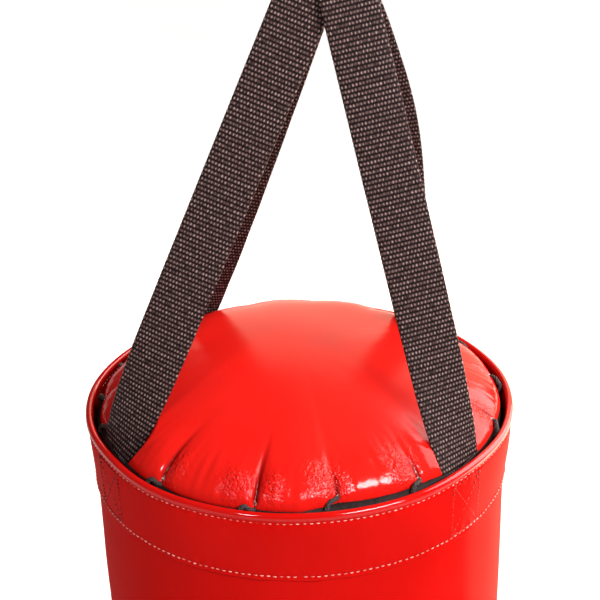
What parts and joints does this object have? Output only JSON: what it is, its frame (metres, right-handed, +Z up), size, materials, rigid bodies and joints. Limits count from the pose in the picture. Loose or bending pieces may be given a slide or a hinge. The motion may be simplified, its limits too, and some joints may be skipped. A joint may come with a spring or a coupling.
{
  "type": "hanging heavy punching bag",
  "caption": "Cylindrical stuffed vinyl punching bag with a laced domed lid, hung by two crossed webbing straps from a D-ring under a swivel.",
  "frame": {"origin": "centre of the upper eye's bore in the swivel, where the bag is hung", "axes": "+Z up, +Y through the eye and away from the front of the bag, +X to the right seen from the front; the bag's own axis leans 2 degrees about Y, as it hangs"},
  "size_m": [0.3431, 0.3124, 1.3748],
  "materials": {
    "red_vinyl": "gloss",
    "stitch_thread": "satin",
    "black_webbing": "satin",
    "black_tape": "satin",
    "black_cord": "satin",
    "packed_textile": "matte",
    "zinc_steel": "satin",
    "brass_washer": "satin"
  },
  "bodies": {
    "swivel_top": {"swivel_housing": "zinc_steel", "swivel_cap": "zinc_steel", "thrust_washer": "brass_washer"},
    "swivel_bottom": {"swivel_stem": "zinc_steel"},
    "ring": {"strap_ring": "zinc_steel"},
    "bag": {"outer_shell": "red_vinyl", "collar_band": "red_vinyl", "lid_panel": "red_vinyl", "base_panel": "red_vinyl", "base_welt": "red_vinyl", "strap_stitching": "stitch_thread", "rim_stitching": "stitch_thread", "band_stitching": "stitch_thread", "base_stitching": "stitch_thread", "back_seam_stitching": "stitch_thread", "strap_left": "black_webbing", "strap_right": "black_webbing", "rim_tape": "black_tape", "lace_cord": "black_cord", "fill_core": "packed_textile"}
  },
  "joints": [
    {"name": "swivel_spin", "type": "hinge", "parent": "swivel_top", "child": "swivel_bottom", "pos_m": [0, 0, -0.03], "axis": [0, 0, 1], "continuous": true},
    {"name": "ring_sway", "type": "hinge", "parent": "swivel_bottom", "child": "ring", "pos_m": [0, 0, -0.074], "axis": [0, 1, 0], "range_deg": [-60, 60]},
    {"name": "bag_swing", "type": "hinge", "parent": "ring", "child": "bag", "pos_m": [0, 0, -0.1032], "axis": [1, 0, 0], "range_deg": [-60, 60]}
  ]
}
